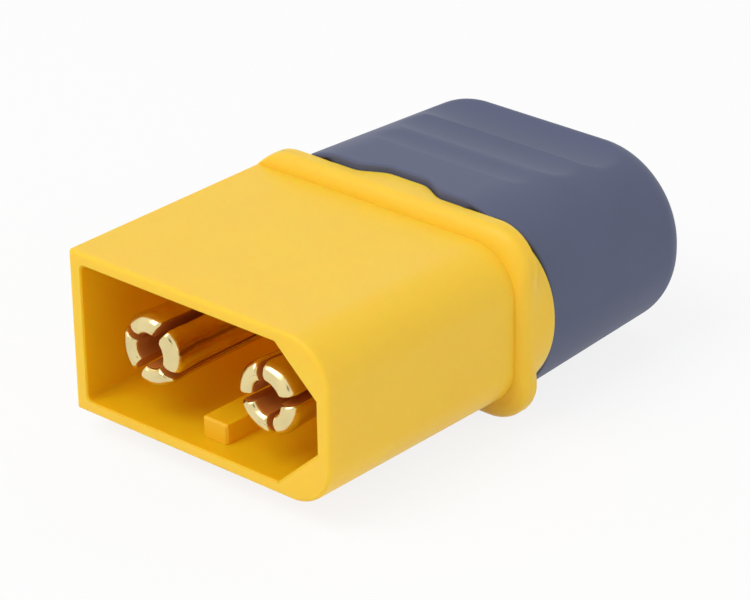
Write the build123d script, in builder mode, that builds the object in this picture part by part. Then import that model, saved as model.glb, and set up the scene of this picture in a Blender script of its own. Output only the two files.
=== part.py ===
"""A two-pin power plug: a moulded shell, two turned contacts and a pull-off wire cover.

Millimetres. The origin is the centre of the mouth plane, midway between the two contacts.
+Y runs rearwards through the plug, +X points to the side with the cut corners, and +Z is
up, square to the wide faces.
"""

import os
from math import atan2, degrees

from build123d import *

# Contacts: two alike, each turned in one piece from the split pin to the solder cup
contact_pitch = 7.2
pin_d = 3.4             # split shank
crown_proud = 0.07      # how far the four petals stand out from the shank at their fullest
crown_fall = 1.3        # over which the head falls to the shank
petal_round = 0.58      # outer rounding of the petal ends; an inner break takes up the rest
tip_setback = 0.47      # tip behind the mouth plane
hollow_d = 1.64         # drilled centre between the petals
hollow_over = 0.6       # drilled this much deeper than the slots
slot_w = 0.38
solid_root = 1.45       # unslotted length of the pin in front of the shell's inner wall
positive_turn = 58      # degrees that each pin's slots stand turned from upright
negative_turn = 13
root_d = 3.8            # collar in the shell's inner wall
shoulder_d = 4.5        # knurled length held in the shell
knurl_count = 18
knurl_w = 0.36
knurl_depth = 0.12
knurl_margin = 0.9      # plain length at each end of the knurl
cup_d = 5.0             # solder cup, outside
cup_wall = 0.5
cup_floor = 0.8
cup_seat = 0.8          # how far the cup's foot is sunk in the tail
cup_len = 5.2
cup_rim_break = 0.1
scoop_len = 1.7         # rear stretch of the cup that is open on top
scoop_z = 0.5           # height above the axis at which it is cut

# Shell: the shroud round the pins
pin_side_room = 4.3     # contact axis to the outside of the narrow wall
shroud_h = 8.1
shroud_len = 12.4       # mouth plane to the flange
cut_corner_r = 2.35     # outer corners on the +X side
plain_corner_r = 0.15   # outer corners on the -X side
side_wall = 0.75
wide_wall = 0.62
cavity_depth = 10.0
cut_corner_x = 2.4      # slanted inner corners on the +X side
cut_corner_z = 2.15
cavity_corner_r = 0.3
rim_break = 0.15
rim_inner_break = 0.08
key_w = 1.5             # block on the lower wide wall
key_h = 1.0
key_setback = 1.0
key_break = 0.12
pin_lip = 1.2           # wall between the cavity floor and the contact's shoulder

# Shell: the flange, with a tongue rearwards on each of its four sides
flange_ledge_side = 0.5 # how far it stands out from the shroud's narrow sides
flange_ledge_wide = 0.8 # and from its wide faces
flange_corner_r = 2.2
flange_len = 1.18       # between the tongues
flange_front_round = 0.5
wide_tongue_rise = 0.7
wide_tongue_flat = 0.9  # half the straight top of a tongue
wide_tongue_foot = 2.75 # half its width at the foot
side_tongue_rise = 1.3  # a round arc
side_tongue_foot = 3.6
tongue_corner_r = 4.4   # corners of the tongues' outline, nearly as round as the cover's

# Cover over the solder cups
cover_len = 11.6        # flange to the rear end
cover_side_step = 0.27  # how far the flange stands out from its narrow sides
cover_proud = 0.325     # how far its wide faces stand out from the flange
cover_fall = 0.6        # how far each wide face falls towards the rear end
cover_side_flat = 0.15  # level height between the long roundings, at the rear end
cover_front_break = 0.12
cover_end_round = 1.5
cover_end_wall = 1.7
cover_side_wall = 0.9   # at the front, round the tail
cover_wide_wall = 1.145
hollow_narrows = 0.73   # how far the hollow closes in towards the end wall, on every side
seat_len = 0.5          # straight bore behind the tail
entry_side_ledge = 0.4  # end wall left beside the oblong wire entry
entry_wide_ledge = 0.8  # and above and below it
entry_break = 0.3
grip_count = 3          # finger grooves across each wide face
grip_pitch = 2.45
grip_r = 3.4
grip_first = 4.07       # flange to the middle of the first groove
grip_depth = 0.09
grip_deepen = 0.165     # each groove is this much deeper than the one before

# Shell: the tail that carries the cover
tail_len = 4.55         # behind the shroud
tail_side_flat = 0.3    # level height between its roundings
tail_break = 0.3
catch_w = 3.6           # low catch across each wide face
catch_h = 0.3
catch_len = 1.2
catch_place = 2.45      # behind the shroud

# Clearances
contact_gap = 0.02      # shell bore round a contact, on the radius
cover_gap = 0.08        # cover bore round the tail, each side
seat_gap = 0.06         # cover edge behind the flange
catch_gap = 0.1         # keyway round a catch

# Sizes and places that follow from these
shroud_w = contact_pitch + 2 * pin_side_room
flange_w = shroud_w + 2 * flange_ledge_side
flange_h = shroud_h + 2 * flange_ledge_wide
flange_back = shroud_len + flange_len
cover_w = flange_w - 2 * cover_side_step
cover_front_h = flange_h + 2 * cover_proud
cover_rear_h = cover_front_h - 2 * cover_fall
cover_corner_r = (cover_rear_h - cover_side_flat) / 2
cover_end = flange_back + cover_len
bore_w = cover_w - 2 * cover_side_wall
bore_h = cover_front_h - 2 * cover_wide_wall
tail_w = bore_w - 2 * cover_gap
tail_h = bore_h - 2 * cover_gap
tail_corner_r = (tail_h - tail_side_flat) / 2
tail_end = shroud_len + tail_len
bore_end = tail_end + seat_len
slot_end = cavity_depth - solid_root
shoulder_start = cavity_depth + pin_lip
cup_start = tail_end - cup_seat
cup_end = cup_start + cup_len
over = 1.0              # how far a cutter reaches past what it cuts
near = 0.01             # places closer than this count as the same


def station(y):
    """The cross-section plane at y, seen from the mouth: local x is X and local y is Z."""
    return Plane.XZ.offset(-y)


plan_view = Plane.XY                                          # local x is X, local y is Y
side_view = Plane((0, 0, 0), x_dir=(0, 0, 1), z_dir=(-1, 0, 0))   # local x is Z, local y is Y


def wide_tongue_outline(start, foot_y):
    """Draw a tongue that rises rearwards from foot_y, level on top, with S-shaped flanks."""
    top_y = foot_y + wide_tongue_rise
    flat, foot = wide_tongue_flat, wide_tongue_foot
    Line((-flat, top_y), (flat, top_y))
    Spline((flat, top_y), (foot, foot_y), tangents=[(1, 0), (1, 0)])
    Polyline((foot, foot_y), (foot, start), (-foot, start), (-foot, foot_y))
    Spline((-foot, foot_y), (-flat, top_y), tangents=[(1, 0), (1, 0)])


def side_tongue_outline(start, foot_y):
    """Draw a tongue that rises rearwards from foot_y in one round arc."""
    foot = side_tongue_foot
    ThreePointArc((foot, foot_y), (0, foot_y + side_tongue_rise), (-foot, foot_y))
    Polyline((-foot, foot_y), (-foot, start), (foot, start), (foot, foot_y))


def tongued_block(start, back):
    """All that lies between y = start and the flange's wavy back, shifted to y = back."""
    with BuildPart() as block:
        with BuildSketch(station(start)):
            Rectangle(flange_w + 2 * over, cover_front_h + 2 * over)
        extrude(amount=start - back)
        with BuildSketch(plan_view):
            with BuildLine():
                wide_tongue_outline(start, back)
            make_face()
        extrude(amount=cover_front_h / 2 + over, both=True)
        with BuildSketch(side_view):
            with BuildLine():
                side_tongue_outline(start, back)
            make_face()
        extrude(amount=flange_w / 2 + over, both=True)
    return block.part


def make_contact(name, x, turn):
    """A contact on the axis through x, its four slots turned from upright by turn degrees."""
    tip = tip_setback
    pin_r, cup_r = pin_d / 2, cup_d / 2
    crown_r = pin_r + crown_proud
    petal_lip = crown_r - hollow_d / 2 - petal_round - near
    along = Plane((x, 0, 0), x_dir=(1, 0, 0), z_dir=(0, 0, 1))     # lengthwise, level
    across = Plane((x, 0, 0), x_dir=(1, 0, 0), z_dir=(0, -1, 0))   # a section at y = 0
    through_petal = along.rotated((0, -turn - 45, 0))              # lengthwise, midway between slots
    with BuildPart() as contact:
        with BuildSketch(through_petal) as outline:
            with BuildLine():
                Polyline(
                    (hollow_d / 2, slot_end + hollow_over),
                    (hollow_d / 2, tip),
                    (crown_r, tip),
                    (crown_r, tip + petal_round + near),
                    (pin_r, tip + petal_round + crown_fall),
                    (pin_r, cavity_depth),
                    (root_d / 2, cavity_depth),
                    (root_d / 2, shoulder_start),
                    (shoulder_d / 2, shoulder_start),
                    (shoulder_d / 2, cup_start),
                    (cup_r, cup_start),
                    (cup_r, cup_end),
                    (cup_r - cup_wall, cup_end),
                    (cup_r - cup_wall, cup_start + cup_floor),
                    (0, cup_start + cup_floor),
                    (0, slot_end + hollow_over),
                    close=True,
                )
            make_face()
            fillet(outline.vertices().group_by(Axis.Y)[0].sort_by(Axis.X)[-1], petal_round)
            chamfer(outline.vertices().group_by(Axis.Y)[0].sort_by(Axis.X)[0], petal_lip)
            chamfer(outline.vertices().group_by(Axis.Y)[-1], cup_rim_break)
        revolve(axis=Axis((x, 0, 0), (0, 1, 0)))
        # two crossed cuts split the pin into four petals
        with BuildSketch(across.offset(-tip)):
            for quarter in (0, 90):
                Rectangle(slot_w, 2 * crown_r + over, rotation=turn + quarter)
        extrude(amount=tip - slot_end, mode=Mode.SUBTRACT)
        # straight knurling that grips the shell
        with BuildSketch(across.offset(-(shoulder_start + knurl_margin))):
            with PolarLocations(shoulder_d / 2, knurl_count):
                Rectangle(2 * knurl_depth, knurl_w)
        extrude(amount=shoulder_start - cup_start + 2 * knurl_margin, mode=Mode.SUBTRACT)
        # the rear of the cup is open on top, for the iron
        with BuildSketch(along.offset(scoop_z)):
            with Locations((0, cup_end)):
                Rectangle(cup_d + over, 2 * scoop_len)
        extrude(amount=cup_r, mode=Mode.SUBTRACT)
    contact.part.label = name
    return contact.part


contact_positive = make_contact("contact_positive", -contact_pitch / 2, positive_turn)
contact_negative = make_contact("contact_negative", contact_pitch / 2, negative_turn)


# The flange is a slab with rounded front edges. The tongues rise behind it on a rounder outline.
with BuildPart() as slab:
    with BuildSketch(station(shroud_len)):
        RectangleRounded(flange_w, flange_h, flange_corner_r)
    extrude(amount=-flange_len)
    fillet(slab.faces().sort_by(Axis.Y)[0].edges(), flange_front_round)

with BuildPart() as flange:
    tongue_start = shroud_len + flange_len / 2
    with BuildSketch(station(tongue_start)):
        RectangleRounded(flange_w, flange_h, tongue_corner_r)
    extrude(amount=tongue_start - flange_back - side_tongue_rise - over)
    add(tongued_block(shroud_len - over, flange_back), mode=Mode.INTERSECT)
    add(slab.part)

# The key block is sunk halfway into the wide wall that carries it.
cavity_half_w = shroud_w / 2 - side_wall
cavity_half_h = shroud_h / 2 - wide_wall
with BuildPart() as key:
    with BuildSketch(station(key_setback)) as key_outline:
        with Locations((0, -cavity_half_h - wide_wall / 2)):
            Rectangle(key_w, key_h + wide_wall / 2, align=(Align.CENTER, Align.MIN))
        fillet(key_outline.vertices().group_by(Axis.Y)[-1], key_break)
    extrude(amount=key_setback - cavity_depth)
    chamfer(key.faces().sort_by(Axis.Y)[0].edges(), key_break)

with BuildPart() as housing:
    with BuildSketch(station(0)) as shroud_outline:
        Rectangle(shroud_w, shroud_h)
        fillet(shroud_outline.vertices().group_by(Axis.X)[-1], cut_corner_r)
        fillet(shroud_outline.vertices().group_by(Axis.X)[0], plain_corner_r)
    extrude(amount=-shroud_len)
    chamfer(housing.faces().sort_by(Axis.Y)[0].edges(), rim_break)
    with BuildSketch(station(shroud_len)):
        RectangleRounded(tail_w, tail_h, tail_corner_r)
    extrude(amount=-tail_len)
    chamfer(housing.faces().sort_by(Axis.Y)[-1].edges(), tail_break)
    add(flange.part)
    # a wedge on each wide face of the tail, steep in front, that the cover is pushed over
    with BuildSketch(side_view):
        with BuildLine():
            catch_front = shroud_len + catch_place
            Polyline(
                (tail_h / 2 - catch_h, catch_front),
                (tail_h / 2 + catch_h, catch_front),
                (tail_h / 2 + catch_h, catch_front + catch_len / 4),
                (tail_h / 2, catch_front + catch_len),
                (tail_h / 2 - catch_h, catch_front + catch_len),
                close=True,
            )
        make_face()
        mirror(about=Plane.YZ)
    extrude(amount=catch_w / 2, both=True)
    # the cavity, with slanted corners on the +X side
    with BuildSketch(station(0)) as cavity_outline:
        with BuildLine():
            Polyline(
                (-cavity_half_w, -cavity_half_h),
                (cavity_half_w - cut_corner_x, -cavity_half_h),
                (cavity_half_w, cut_corner_z - cavity_half_h),
                (cavity_half_w, cavity_half_h - cut_corner_z),
                (cavity_half_w - cut_corner_x, cavity_half_h),
                (-cavity_half_w, cavity_half_h),
                close=True,
            )
        make_face()
        fillet(cavity_outline.vertices().group_by(Axis.X)[0], cavity_corner_r)
    extrude(amount=-cavity_depth, mode=Mode.SUBTRACT)
    mouth = housing.faces().sort_by(Axis.Y)[0]
    chamfer(mouth.inner_wires()[0].edges(), rim_inner_break)
    add(key.part)
    # a stepped hole through the solid middle for each contact
    with BuildSketch(station(tail_end)):
        with GridLocations(contact_pitch, 0, 2, 1):
            Circle(root_d / 2 + contact_gap)
    extrude(amount=tail_end - cavity_depth, mode=Mode.SUBTRACT)
    with BuildSketch(station(tail_end)):
        with GridLocations(contact_pitch, 0, 2, 1):
            Circle(shoulder_d / 2 + contact_gap)
    extrude(amount=tail_end - shoulder_start, mode=Mode.SUBTRACT)
    with BuildSketch(station(tail_end)):
        with GridLocations(contact_pitch, 0, 2, 1):
            Circle(cup_d / 2 + contact_gap)
    extrude(amount=cup_seat, mode=Mode.SUBTRACT)
housing.part.label = "housing"


def cover_half_height(y):
    """Half the cover's height at y, which falls evenly from its front to its rear."""
    return cover_front_h / 2 - cover_fall * (y - flange_back) / cover_len


def outer_front_edge(edge):
    """Whether an edge lies on the cover's outside, along its tongued front."""
    middle = edge @ 0.5
    side_out = max(abs(middle.X) - bore_w / 2, abs(middle.Z) - bore_h / 2)
    front = middle.Y < flange_back + side_tongue_rise + seat_gap + near
    return front and side_out > cover_side_wall / 2 and abs((edge % 0.5).Y) < 0.9


with BuildPart() as wire_cover:
    # a wedge in side view, its four long edges rounded until the narrow sides are nearly round
    with BuildSketch(side_view):
        with BuildLine():
            Polyline(
                (-cover_front_h / 2, flange_back),
                (cover_front_h / 2, flange_back),
                (cover_rear_h / 2, cover_end),
                (-cover_rear_h / 2, cover_end),
                close=True,
            )
        make_face()
    extrude(amount=cover_w / 2, both=True)
    lengthwise = wire_cover.edges().filter_by(lambda edge: abs((edge % 0.5).Y) > 0.9)
    fillet(lengthwise, cover_corner_r)
    fillet(wire_cover.faces().sort_by(Axis.Y)[-1].edges(), cover_end_round)
    # finger grooves: round bars laid across both wide faces, each deeper than the last
    for i in range(grip_count):
        groove_y = flange_back + grip_first + i * grip_pitch
        groove_bottom = cover_half_height(groove_y) - grip_depth - i * grip_deepen
        with BuildSketch(side_view):
            with Locations((groove_bottom + grip_r, groove_y), (-groove_bottom - grip_r, groove_y)):
                Circle(grip_r)
        extrude(amount=cover_w / 2 + over, both=True, mode=Mode.SUBTRACT)
    # the straight bore that sits on the tail, then the hollow that narrows to the end wall
    with BuildSketch(station(flange_back)):
        RectangleRounded(bore_w, bore_h, tail_corner_r + cover_gap)
    extrude(amount=flange_back - bore_end, mode=Mode.SUBTRACT)
    hollow_len = cover_end - cover_end_wall - bore_end
    with BuildSketch(station(bore_end)):
        RectangleRounded(bore_w, bore_h, tail_corner_r + cover_gap)
    extrude(amount=-hollow_len, taper=degrees(atan2(hollow_narrows, hollow_len)), mode=Mode.SUBTRACT)
    entry_w = bore_w - 2 * (hollow_narrows + entry_side_ledge)
    entry_h = bore_h - 2 * (hollow_narrows + entry_wide_ledge)
    with BuildSketch(station(cover_end)):
        SlotOverall(entry_w, entry_h)
    extrude(amount=cover_end_wall + seat_len, mode=Mode.SUBTRACT)
    rear_face = wire_cover.faces().sort_by(Axis.Y)[-1]
    chamfer(rear_face.inner_wires()[0].edges(), entry_break)
    # keyways that run forward from each catch to the front edge
    with BuildSketch(station(flange_back)):
        with GridLocations(0, tail_h + catch_h, 1, 2):
            Rectangle(catch_w + 2 * catch_gap, catch_h + 2 * catch_gap)
    extrude(amount=-(catch_place + catch_len + catch_gap - flange_len), mode=Mode.SUBTRACT)
    add(tongued_block(flange_back - over, flange_back + seat_gap), mode=Mode.SUBTRACT)
    chamfer(wire_cover.edges().filter_by(outer_front_edge), cover_front_break)
wire_cover.part.label = "wire_cover"

os.makedirs("parts", exist_ok=True)
export_step(housing.part, "parts/housing.step")
export_step(wire_cover.part, "parts/wire_cover.step")
export_step(contact_positive, "parts/contact_positive.step")
export_step(contact_negative, "parts/contact_negative.step")
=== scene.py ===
# %% [markdown]
# # A small power plug, from numpy surfaces
#
# The object is a two-pin power plug of the kind soldered to battery leads. It has four pieces: a
# yellow moulded shell, a blue-grey cover pushed over its tail, and two turned, gold-plated pins.
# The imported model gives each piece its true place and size, and the looks are made here: each
# piece is a closed surface worked out as whole numpy arrays, so that its roundings shade smoothly.
# Sizes below are in millimetres, and one helper turns them into metres when a mesh is made.

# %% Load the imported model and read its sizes
from math import atan2, cos, pi, radians, sin

import bmesh
import bpy
import numpy as np
from mathutils import Matrix, Vector
from mathutils.geometry import delaunay_2d_cdt


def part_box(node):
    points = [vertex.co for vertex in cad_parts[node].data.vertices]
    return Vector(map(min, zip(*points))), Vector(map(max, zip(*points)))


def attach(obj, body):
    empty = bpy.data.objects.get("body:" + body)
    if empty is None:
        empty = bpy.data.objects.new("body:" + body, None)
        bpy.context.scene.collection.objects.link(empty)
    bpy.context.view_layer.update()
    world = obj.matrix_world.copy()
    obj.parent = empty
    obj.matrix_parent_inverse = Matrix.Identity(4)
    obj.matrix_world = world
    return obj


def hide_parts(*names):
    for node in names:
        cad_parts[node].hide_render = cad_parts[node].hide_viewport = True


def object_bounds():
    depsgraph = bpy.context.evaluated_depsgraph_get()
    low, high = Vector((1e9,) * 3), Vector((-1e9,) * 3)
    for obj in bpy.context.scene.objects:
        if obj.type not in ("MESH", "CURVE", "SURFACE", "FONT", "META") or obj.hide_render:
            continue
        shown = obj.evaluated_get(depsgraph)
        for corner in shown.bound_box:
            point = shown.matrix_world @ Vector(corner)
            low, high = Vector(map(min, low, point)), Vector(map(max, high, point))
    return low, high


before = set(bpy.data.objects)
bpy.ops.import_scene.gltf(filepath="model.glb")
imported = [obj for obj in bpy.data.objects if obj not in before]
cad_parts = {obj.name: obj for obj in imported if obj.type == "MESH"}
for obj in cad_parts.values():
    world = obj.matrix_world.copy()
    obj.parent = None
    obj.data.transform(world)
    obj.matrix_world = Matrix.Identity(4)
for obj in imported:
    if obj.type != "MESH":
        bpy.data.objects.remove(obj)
cad_low, cad_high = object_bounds()
MM = 0.001


def node_box(node):
    """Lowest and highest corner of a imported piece, in millimetres."""
    low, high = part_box(node)
    return np.array(low) / MM, np.array(high) / MM


shell_low, shell_high = node_box("housing")
cover_low, cover_high = node_box("wire_cover")
contact_low, contact_high = node_box("contact_positive")
print("shell", np.round(shell_high - shell_low, 2), "cover", np.round(cover_high - cover_low, 2))

# %% [markdown]
# ## The way every surface is made
#
# A closed outline is sampled always in the same order, so that sample 200 of the shroud's outline
# faces sample 200 of the flange's. A piece is then a stack of rings, each ring an outline at its own
# distance along the plug, and neighbouring rings are joined by quads. A ring lies close to each edge
# on both sides, because smooth shading would otherwise bend the light across the whole flat face.

# %% Outlines
CORNER_SAMPLES = 41
WIDE_SAMPLES = 91
NARROW_SAMPLES = 37
QUADRANTS = ((1, 1), (-1, 1), (-1, -1), (1, -1))


def outline(width, height, corners):
    """A four-sided outline with its corners taken off.

    Each corner is (reach x, reach z, is arc): between the points that lie one reach before the
    corner on either side, the outline is a quarter of an ellipse or a straight cut.
    """
    half = np.array([width, height]) / 2
    t = np.linspace(0, 1, CORNER_SAMPLES)
    quarter = np.stack([np.cos(t * pi / 2), np.sin(t * pi / 2)], 1)
    straight = np.stack([1 - t, t], 1)
    turns = []
    for (sign_x, sign_z), (reach_x, reach_z, is_arc) in zip(QUADRANTS, corners):
        reach = np.array([reach_x, reach_z])
        turn = (half - reach + reach * (quarter if is_arc else straight)) * (sign_x, sign_z)
        turns.append(turn if sign_x * sign_z > 0 else turn[::-1])
    runs = []
    side_samples = (WIDE_SAMPLES, NARROW_SAMPLES, WIDE_SAMPLES, NARROW_SAMPLES)
    for turn, following, count in zip(turns, turns[1:] + turns[:1], side_samples):
        t = np.linspace(0, 1, count + 2)[1:-1, None]
        runs += [turn, turn[-1] * (1 - t) + following[0] * t]
    return np.concatenate(runs)


def rounded(width, height, radius):
    """A rectangle's outline with four equal round corners."""
    return outline(width, height, [(radius, radius, True)] * 4)


def ring(points, y):
    """An outline in X and Z placed at y, which is a single number or an array with one for each sample."""
    return np.column_stack([points[:, 0], np.broadcast_to(y, len(points)), points[:, 1]])


def quarter_round(radius, steps=7):
    """Offsets across and along a quarter rounding, from its start (radius, 0) to its end (0, radius)."""
    angle = np.linspace(0, pi / 2, steps)
    return np.stack([radius * (1 - np.sin(angle)), radius * (1 - np.cos(angle))], 1)


print("samples round an outline:", len(rounded(10, 5, 1)))

# %% From rings to a mesh
WELD = 0.0004                       # points closer than this become one


def skin(rings, closed=True):
    """Points and quads of a stack of equal rings, joined one to the next."""
    rings = np.asarray(rings)
    count, around = rings.shape[:2]
    index = np.arange(count * around).reshape(count, around)
    if closed:
        index = np.column_stack([index, index[:, 0]])
    quads = np.stack([index[:-1, :-1], index[:-1, 1:], index[1:, 1:], index[1:, :-1]], -1)
    return rings.reshape(-1, 3), quads.reshape(-1, 4)


def flat_fill(outer, holes, y):
    """Triangles of a flat plate at y between an outline and the round holes (x, radius, samples)."""
    loops = [outer]
    for x, radius, samples in holes:
        angle = np.arange(samples) * 2 * pi / samples
        loops.append(np.stack([x + radius * np.cos(angle), radius * np.sin(angle)], 1))
    points = np.concatenate(loops)
    starts = np.cumsum([0] + [len(loop) for loop in loops])
    edges = np.concatenate([
        np.stack([np.arange(a, b), np.roll(np.arange(a, b), -1)], 1) for a, b in zip(starts, starts[1:])
    ])
    made = delaunay_2d_cdt(points.tolist(), edges.tolist(), [], 1, 1e-6)
    flat, faces = np.array(made[0]), np.array(made[2])
    middle = flat[faces].mean(1)
    keep = np.ones(len(faces), bool)
    for x, radius, samples in holes:
        keep &= np.hypot(middle[:, 0] - x, middle[:, 1]) > radius * cos(pi / samples) ** 2
    faces = faces[keep]
    return np.column_stack([flat[:, 0], np.full(len(flat), y), flat[:, 1]]), faces


def make_mesh(name, surfaces, sharp_degrees=33):
    """Join surfaces into one closed mesh in metres, outwards, smooth but for its real edges."""
    mesh = bpy.data.meshes.new(name)
    starts = np.cumsum([0] + [len(points) for points, _ in surfaces])
    points = np.concatenate([points for points, _ in surfaces]) * MM
    faces = [face for (_, quads), start in zip(surfaces, starts) for face in (quads + start).tolist()]
    mesh.from_pydata(points.tolist(), [], faces)
    work = bmesh.new()
    work.from_mesh(mesh)
    bmesh.ops.remove_doubles(work, verts=work.verts, dist=WELD * MM)
    bmesh.ops.recalc_face_normals(work, faces=work.faces)
    open_edges = sum(edge.is_boundary for edge in work.edges)
    work.to_mesh(mesh)
    work.free()
    mesh.shade_smooth()
    mesh.set_sharp_from_angle(angle=radians(sharp_degrees))
    print(f"{name}: {len(mesh.polygons)} faces, {open_edges} open edges")
    return mesh


def make_piece(name, surfaces, sharp_degrees=33):
    """A scene object at the origin that holds the joined surfaces."""
    piece = bpy.data.objects.new(name, make_mesh(name, surfaces, sharp_degrees))
    bpy.context.scene.collection.objects.link(piece)
    return piece


# %% [markdown]
# ## The line between shell and cover
#
# The flange's back isn't straight. It rises into a low tongue on both wide faces and into a long, nearly
# level one on both narrow sides, and the cover's front edge follows it at a small gap. Two separate
# curves would drift apart, so one function gives the height of the line at any place of the
# cross-section, and both pieces use it.

# %% The tongued line
FLANGE_BACK = 13.58
SEAT_GAP = 0.06
WIDE_TONGUE = (0.7, 0.9, 2.75)      # rise, half its level top, half its foot
SIDE_TONGUE = (1.22, 4.6, 3.5)      # rise, half its foot, how square its shoulders are


def wide_tongue(x):
    """Height of a tongue on a wide face: level in the middle, then an S-curve down to its foot."""
    rise, flat, foot = WIDE_TONGUE
    t = np.clip((np.abs(x) - flat) / (foot - flat), 0, 1)
    return rise * (1 - t * t * (3 - 2 * t))


def side_tongue(z):
    """Height of a tongue on a narrow side: rise times the root of 1 - (|z| / foot)^power.

    A power of 2 would give half an ellipse; a higher one keeps the middle level.
    """
    rise, foot, power = SIDE_TONGUE
    return rise * np.sqrt(1 - np.minimum(np.abs(z) / foot, 1) ** power)


def tongued(points):
    """How far the line stands behind the flange at each sample: the higher of the two tongues there."""
    return np.maximum(wide_tongue(points[:, 0]), side_tongue(points[:, 1]))


print("tongues rise", WIDE_TONGUE[0], "and", SIDE_TONGUE[0], "mm")

# %% [markdown]
# ## The yellow shell
#
# One moulding: a shroud with a flat narrow wall on one side and cut corners on the other, a key on
# its lower wall, the flange, and a tail for the cover. It could be cut from blocks with Booleans,
# but the roundings would then shade badly. Here one chain of rings runs from the floor of the cavity
# out over the rim, along the shroud, over the flange and down the tail. The sizes that the packed
# model has too are read from its boxes, and the others were fitted to it and to the photo.

# %% Sizes of the shell
SHROUD = (15.8, 8.1)
SHROUD_LEN = 12.4
SHROUD_ROUND = 2.35                 # its corners on the +X side
SHROUD_PLAIN = 0.15                 # its nearly square corners on the other side
WALLS = (0.75, 0.62)                # narrow sides, wide faces
CAVITY_DEPTH = 10.0
CAVITY_CUT = (2.4, 2.15)            # reach of the slanted corners along x and z
CAVITY_ROUND = 0.3
KEY_WIDTH = 1.5
KEY_HEIGHT = 1.0
RIM_ROUND = 0.2
RIM_INNER = 0.07

print("shroud", SHROUD, "cavity", np.round(np.array(SHROUD) - 2 * np.array(WALLS), 2), "deep", CAVITY_DEPTH)

# %% Sizes of the flange and the tail
FLANGE = (2 * shell_high[0], 2 * shell_high[2])
FLANGE_FRONT = 0.62                 # length over which its front swells out from the shroud
FLANGE_CORNER = 2.2
FLANGE_REAR_ROUND = 0.18
TONGUE_CORNER = 4.8                 # the tongues stand on a rounder outline than the flange
CORNER_FROM = 1.8                   # at this height the plain side starts to turn into the stepped corner
CORNER_TO = 3.0                     # and here it has turned
SWELL_STEPS = 13
REAR_STEPS = 6
TAIL = (14.3, 7.9)
TAIL_ROUND = 3.8
TAIL_BREAK = 0.3
CATCH = (14.85, 1.2, 0.3, 1.8)      # where it starts, length, height, half width
CLOSE = 0.05                        # from an edge to the ring that guards its shading
PITCH = 7.2
HOLES = ((10.0, 1.92), (11.2, 2.27), (16.15, 2.52))    # start and radius of the stepped hole
HOLE_SAMPLES = 72
HAIR = 0.01                         # less than this counts as touching

print("flange", np.round(FLANGE, 2), "tail", TAIL, "ends at", round(shell_high[1], 2))


# %% Outlines of the shell
def shroud(inset=0):
    """Outer outline of the shroud: round corners on the +X side, nearly square ones on the other."""
    near, far = SHROUD_ROUND - inset, max(SHROUD_PLAIN - inset, 2 * HAIR)
    corners = [(near, near, True), (far, far, True), (far, far, True), (near, near, True)]
    return outline(SHROUD[0] - 2 * inset, SHROUD[1] - 2 * inset, corners)


def cavity(inset=0):
    """Inner outline of the shroud: slanted corners on the +X side, tight round ones on the other."""
    cut, tight = (*CAVITY_CUT, False), (CAVITY_ROUND, CAVITY_ROUND, True)
    corners = [cut, tight, tight, cut]
    return outline(SHROUD[0] - 2 * (WALLS[0] + inset), SHROUD[1] - 2 * (WALLS[1] + inset), corners)


def onto_flange(points):
    """Each point moved the shortest way onto the flange's outline.

    Beside a flat side that is square to the side, and in a corner it is along the line from the
    centre of the corner's rounding.
    """
    core = np.array(FLANGE) / 2 - FLANGE_CORNER
    away = np.abs(points) - core
    flat = np.where(away >= away.max(1, keepdims=True), FLANGE_CORNER, away)
    corner = away * FLANGE_CORNER / np.hypot(*away.T)[:, None]
    in_corner = (away > 0).all(1)[:, None]
    return np.sign(points) * (core + np.where(in_corner, corner, flat))


def tongue_foot(inset=0):
    """Outline that the tongues stand on: as wide and high as the flange, with rounder corners."""
    return rounded(FLANGE[0] - 2 * inset, FLANGE[1] - 2 * inset, TONGUE_CORNER - inset)


def tail(inset=0):
    """Outline of the tail, with nearly round narrow sides."""
    return rounded(TAIL[0] - 2 * inset, TAIL[1] - 2 * inset, TAIL_ROUND - inset)


def catch_rise(y):
    """Height of the catch at y: steep in front, then a long ramp down to nothing."""
    start, length, height, _ = CATCH
    return np.interp(y, [start, start + CLOSE, start + length / 4, start + length], [0, height, height, 0])


print("catch stands", CATCH[2], "mm above the tail")

# %% [markdown]
# ### The stepped back of the flange
#
# Seen from behind, the flange's corners stand out beyond the tongues as small ledges, while its narrow
# sides run straight into their tongues. Both are the same rings here: each sample steps inwards over
# its ledge by a share of its own, which is nothing on the plain sides and all of it in the corners.

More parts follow.
